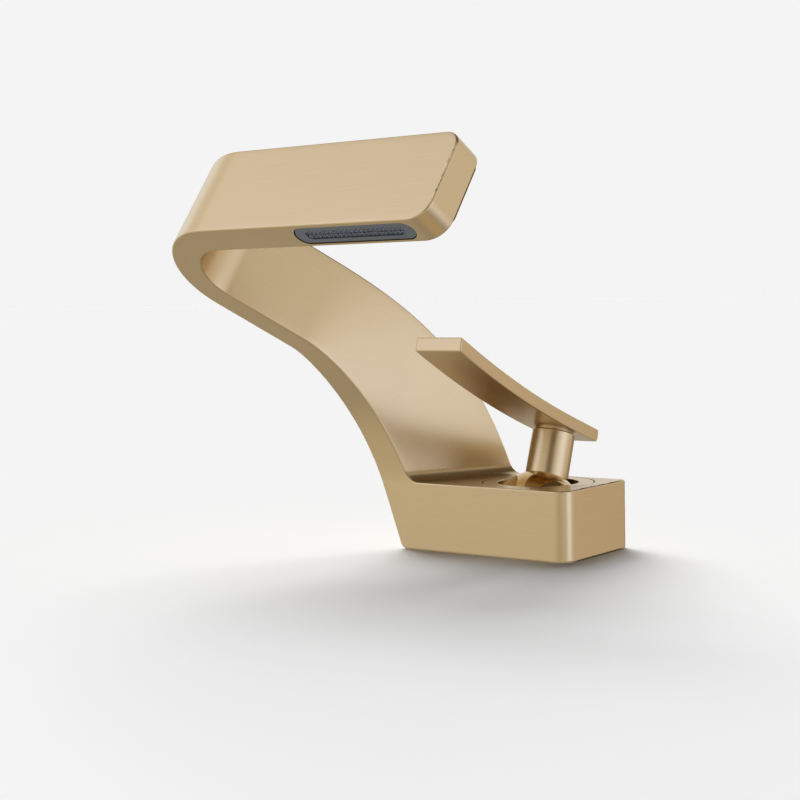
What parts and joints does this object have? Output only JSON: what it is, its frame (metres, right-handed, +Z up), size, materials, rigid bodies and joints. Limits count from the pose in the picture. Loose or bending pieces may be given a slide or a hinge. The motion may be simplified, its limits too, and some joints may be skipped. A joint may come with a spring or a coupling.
{
  "type": "basin faucet",
  "caption": "Single-lever basin mixer: a flat ribbon spout folds back over a block base and pours from a slot; a lever on a domed stem tilts and turns.",
  "frame": {"origin": "the middle of the block's underside, on the deck plane", "axes": "+Z up, +X to the right along the block's front towards the lever, +Y to the back; the user stands on the -Y side"},
  "size_m": [0.1364, 0.1444, 0.1609],
  "materials": {
    "satin_gold": "fine satin brushed, pale gold coating",
    "polished_gold": "mirror polished, gold coating",
    "raw_brass": "turned, uncoated",
    "stainless": "turned stainless steel",
    "black_rubber": "matt",
    "grey_silicone": "matt",
    "grey_plastic": "fine matt",
    "pale_plastic": "moulded, matt",
    "red_plastic": "moulded, matt",
    "white_ceramic": "lapped alumina"
  },
  "bodies": {
    "base": {"body": "satin_gold", "base_seal": "black_rubber", "trim_ring": "satin_gold", "ring_seal": "black_rubber", "lock_nut": "raw_brass", "cartridge_housing": "pale_plastic", "cartridge_bottom": "pale_plastic", "port_seals": "black_rubber", "fixed_disc": "white_ceramic", "limiter_ring": "red_plastic", "outlet_frame": "grey_plastic", "jet_strip": "grey_silicone", "flow_screen": "stainless", "outlet_gasket": "black_rubber"},
    "mixer": {"rotor": "grey_plastic", "pivot_pin": "stainless"},
    "valve": {"moving_disc": "white_ceramic", "disc_carrier": "grey_plastic"},
    "handle": {"spindle": "stainless", "spindle_bush": "raw_brass", "dome_cap": "polished_gold", "dome_clip": "stainless", "handle_post": "satin_gold", "set_screw": "stainless", "lever_stud": "stainless", "lever": "satin_gold"}
  },
  "joints": [
    {"name": "handle_turn", "type": "hinge", "parent": "base", "child": "mixer", "pos_m": [0.0121, 0, 0.0195], "axis": [0, 0, 1], "range_deg": [-40, 40]},
    {"name": "handle_tilt", "type": "hinge", "parent": "mixer", "child": "handle", "pos_m": [0.0121, 0, 0.0195], "axis": [1, 0, 0], "range_deg": [-4, 19]},
    {"name": "valve_slide", "type": "slide", "parent": "mixer", "child": "valve", "axis": [0, 1, 0], "range_m": [-0.00028, 0.00128]}
  ],
  "couplings": [
    {"joint": "valve_slide", "follows": "handle_tilt", "m_per_rad": 0.00383}
  ]
}
